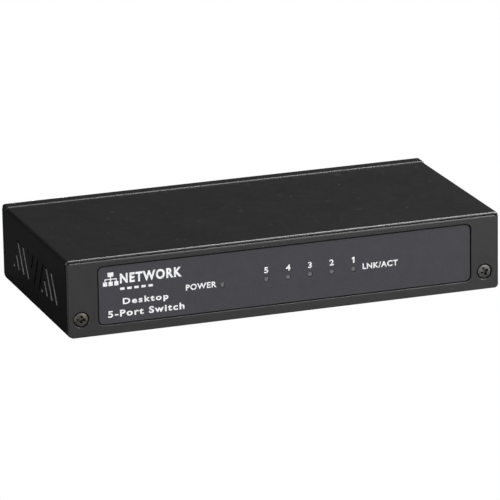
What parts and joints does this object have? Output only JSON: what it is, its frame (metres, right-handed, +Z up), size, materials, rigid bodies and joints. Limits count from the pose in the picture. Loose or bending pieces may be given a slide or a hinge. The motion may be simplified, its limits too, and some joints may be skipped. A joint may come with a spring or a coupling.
{
  "type": "desktop network switch",
  "caption": "Small black sheet-steel desktop network switch: flat box with a recessed front label and lights, slanted side vents, and network sockets with a power inlet at the rear.",
  "frame": {"origin": "bottom centre of the case, on the surface that the four rubber feet stand on", "axes": "+X along the front, from the power light towards port 1; -Y out of the front label; +Y out of the sockets; +Z up"},
  "size_m": [0.15, 0.071, 0.028],
  "materials": {
    "case_paint": "satin black powder paint on folded sheet steel",
    "label_film": "dark grey printed polycarbonate film, fine matte texture",
    "zinc_steel": "zinc-plated steel with a warm grey tarnish",
    "black_rubber": "matte black rubber",
    "plain_label": "plain silver-grey film, left blank",
    "green_laminate": "green solder mask over glass laminate, with pale printed outlines",
    "nickel_plate": "bright nickel plate",
    "clear_film": "milky insulating film",
    "socket_plastic": "moulded black nylon",
    "gold_plate": "gold-plated spring wire",
    "light_lens": "dull grey diffused resin, unlit",
    "chip_resin": "moulded black epoxy",
    "heat_sink_aluminium": "bare extruded aluminium",
    "capacitor_sleeve": "dark shrink sleeve",
    "ferrite_core": "grey ferrite",
    "tinned_metal": "tinned end caps"
  },
  "bodies": {
    "root": {"top_cover": "case_paint", "chassis": "case_paint", "front_label": "label_film", "front_screw_left": "zinc_steel", "front_screw_right": "zinc_steel", "rear_screw_left": "zinc_steel", "rear_screw_right": "zinc_steel", "board_screw_1": "zinc_steel", "board_screw_2": "zinc_steel", "board_screw_3": "zinc_steel", "board_screw_4": "zinc_steel", "foot_front_left": "black_rubber", "foot_front_right": "black_rubber", "foot_rear_left": "black_rubber", "foot_rear_right": "black_rubber", "under_label": "plain_label", "main_board": "green_laminate", "standoff_1": "nickel_plate", "standoff_2": "nickel_plate", "standoff_3": "nickel_plate", "standoff_4": "nickel_plate", "power_inlet_pin": "nickel_plate", "crystal": "nickel_plate", "insulating_film": "clear_film", "jack_shell_1": "socket_plastic", "jack_shell_2": "socket_plastic", "jack_shell_3": "socket_plastic", "jack_shell_4": "socket_plastic", "jack_shell_5": "socket_plastic", "power_inlet_body": "socket_plastic", "led_rail": "socket_plastic", "jack_contacts_1": "gold_plate", "jack_contacts_2": "gold_plate", "jack_contacts_3": "gold_plate", "jack_contacts_4": "gold_plate", "jack_contacts_5": "gold_plate", "led_port_1": "light_lens", "led_port_2": "light_lens", "led_port_3": "light_lens", "led_port_4": "light_lens", "led_port_5": "light_lens", "led_power": "light_lens", "switch_chip": "chip_resin", "magnetics_1": "chip_resin", "magnetics_2": "chip_resin", "magnetics_3": "chip_resin", "memory_chip": "chip_resin", "regulator": "chip_resin", "rectifier_diode": "chip_resin", "heat_sink": "heat_sink_aluminium", "capacitor_1": "capacitor_sleeve", "capacitor_2": "capacitor_sleeve", "capacitor_3": "capacitor_sleeve", "power_inductor": "ferrite_core", "fuse": "tinned_metal"}
  },
  "joints": []
}
